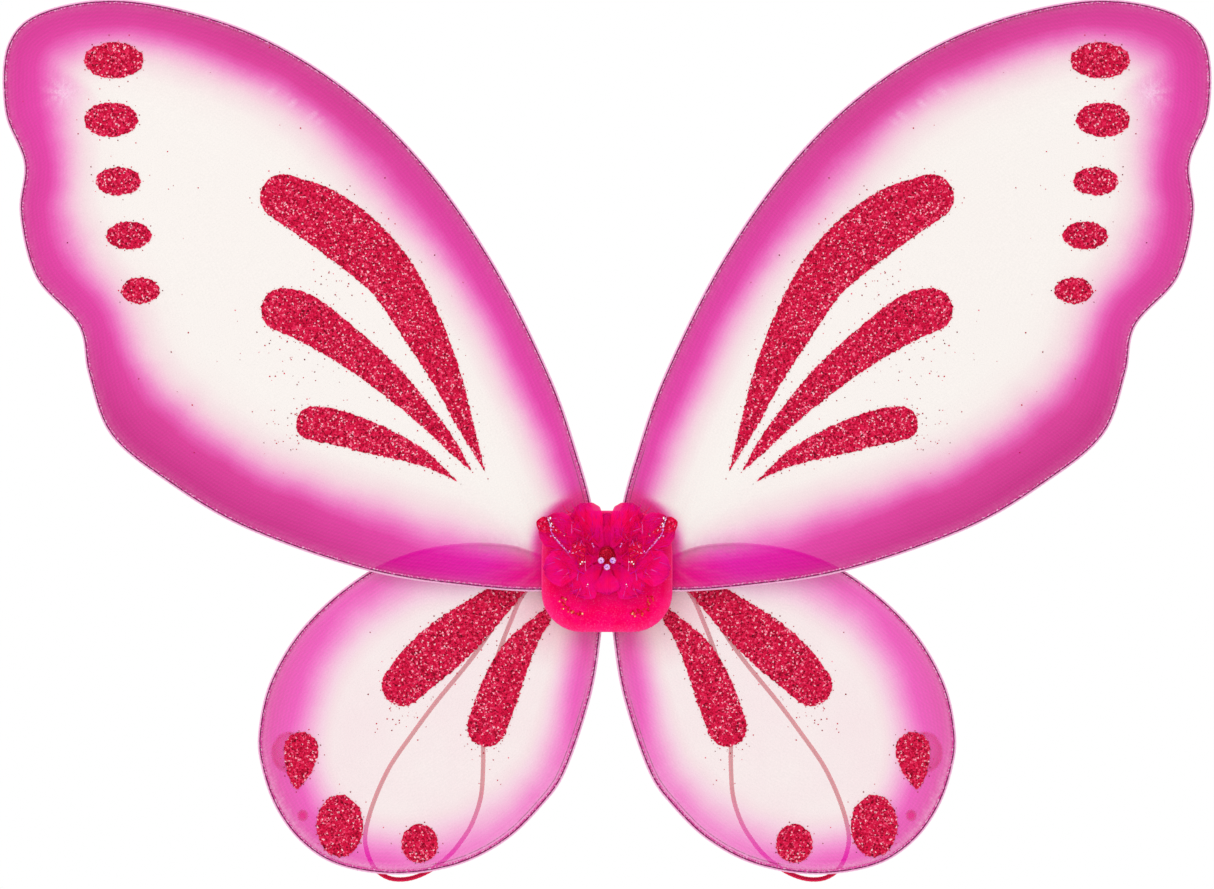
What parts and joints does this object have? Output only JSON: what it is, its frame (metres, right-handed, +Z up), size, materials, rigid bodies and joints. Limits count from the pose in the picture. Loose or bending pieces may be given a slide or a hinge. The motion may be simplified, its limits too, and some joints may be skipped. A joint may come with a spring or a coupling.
{
  "type": "fairy wings",
  "caption": "Costume butterfly wings: wire loops under sheer dyed nylon with glitter marks, a felt pad with a fabric flower, and elastic shoulder loops.",
  "frame": {"origin": "centre of the back pad's rear flat face, which rests on the wearer's back", "axes": "+Z up as worn, +Y out of the pad's rear face towards the wearer, +X to the right seen from the display side"},
  "size_m": [0.601, 0.0298, 0.4403],
  "materials": {
    "nylon": "satin",
    "wire": "satin",
    "felt": "matte",
    "card": "matte",
    "tape": "matte",
    "elastic": "matte",
    "petal": "satin",
    "glitter": "gloss",
    "bead": "gloss",
    "tinsel": "gloss"
  },
  "bodies": {
    "centre": {"back_pad": "felt", "bead_left": "bead", "bead_low": "bead", "bead_right": "bead", "core_pad": "felt", "flower_base": "felt", "flower_heart": "glitter", "front_pad": "felt", "glitter_petal_side_left": "glitter", "glitter_petal_side_right": "glitter", "glitter_petal_upper_left": "glitter", "glitter_petal_upper_right": "glitter", "lower_binding_tape": "tape", "lower_root_gather_left": "nylon", "lower_root_gather_right": "nylon", "lower_root_wire_left": "wire", "lower_root_wire_right": "wire", "petal_bottom": "petal", "petal_lower_left": "petal", "petal_lower_right": "petal", "petal_side_left": "petal", "petal_side_right": "petal", "petal_tip_left": "petal", "petal_tip_right": "petal", "petal_top": "petal", "petal_upper_left": "petal", "petal_upper_right": "petal", "stiffener_card": "card", "strap_anchor_left": "elastic", "strap_anchor_right": "elastic", "tinsel_left": "tinsel", "tinsel_right": "tinsel", "upper_binding_tape": "tape", "upper_root_gather_left": "nylon", "upper_root_gather_right": "nylon", "upper_root_wire_left": "wire", "upper_root_wire_right": "wire"},
    "upper_left_wing": {"upper_wing_wire_left": "wire", "upper_wing_cover_left": "nylon"},
    "upper_right_wing": {"upper_wing_wire_right": "wire", "upper_wing_cover_right": "nylon"},
    "lower_left_wing": {"lower_wing_wire_left": "wire", "lower_wing_cover_left": "nylon"},
    "lower_right_wing": {"lower_wing_wire_right": "wire", "lower_wing_cover_right": "nylon"},
    "strap_loop_left": {"strap_left": "elastic"},
    "strap_loop_right": {"strap_right": "elastic"}
  },
  "joints": [
    {"name": "upper_left_bend", "type": "hinge", "parent": "centre", "child": "upper_left_wing", "pos_m": [-0.03165, -0.0129, 0.02103], "axis": [0.5534, 0, 0.8329], "range_deg": [0, 60]},
    {"name": "upper_right_bend", "type": "hinge", "parent": "centre", "child": "upper_right_wing", "pos_m": [0.03165, -0.0129, 0.02103], "axis": [0.5534, 0, -0.8329], "range_deg": [0, 60]},
    {"name": "lower_left_bend", "type": "hinge", "parent": "centre", "child": "lower_left_wing", "pos_m": [-0.02999, -0.0066, -0.02334], "axis": [-0.6143, 0, 0.7891], "range_deg": [0, 30]},
    {"name": "lower_right_bend", "type": "hinge", "parent": "centre", "child": "lower_right_wing", "pos_m": [0.02999, -0.0066, -0.02334], "axis": [-0.6143, 0, -0.7891], "range_deg": [0, 30]},
    {"name": "strap_left_swing", "type": "hinge", "parent": "centre", "child": "strap_loop_left", "pos_m": [-0.0332, -0.0039, -0.0034], "axis": [1, 0, 0], "range_deg": [0, 90]},
    {"name": "strap_right_swing", "type": "hinge", "parent": "centre", "child": "strap_loop_right", "pos_m": [0.0332, -0.0039, -0.0034], "axis": [1, 0, 0], "range_deg": [0, 90]}
  ],
  "couplings": [
    {"joint": "lower_left_bend", "follows": "upper_left_bend", "ratio": 0.5},
    {"joint": "lower_right_bend", "follows": "upper_right_bend", "ratio": 0.5}
  ]
}
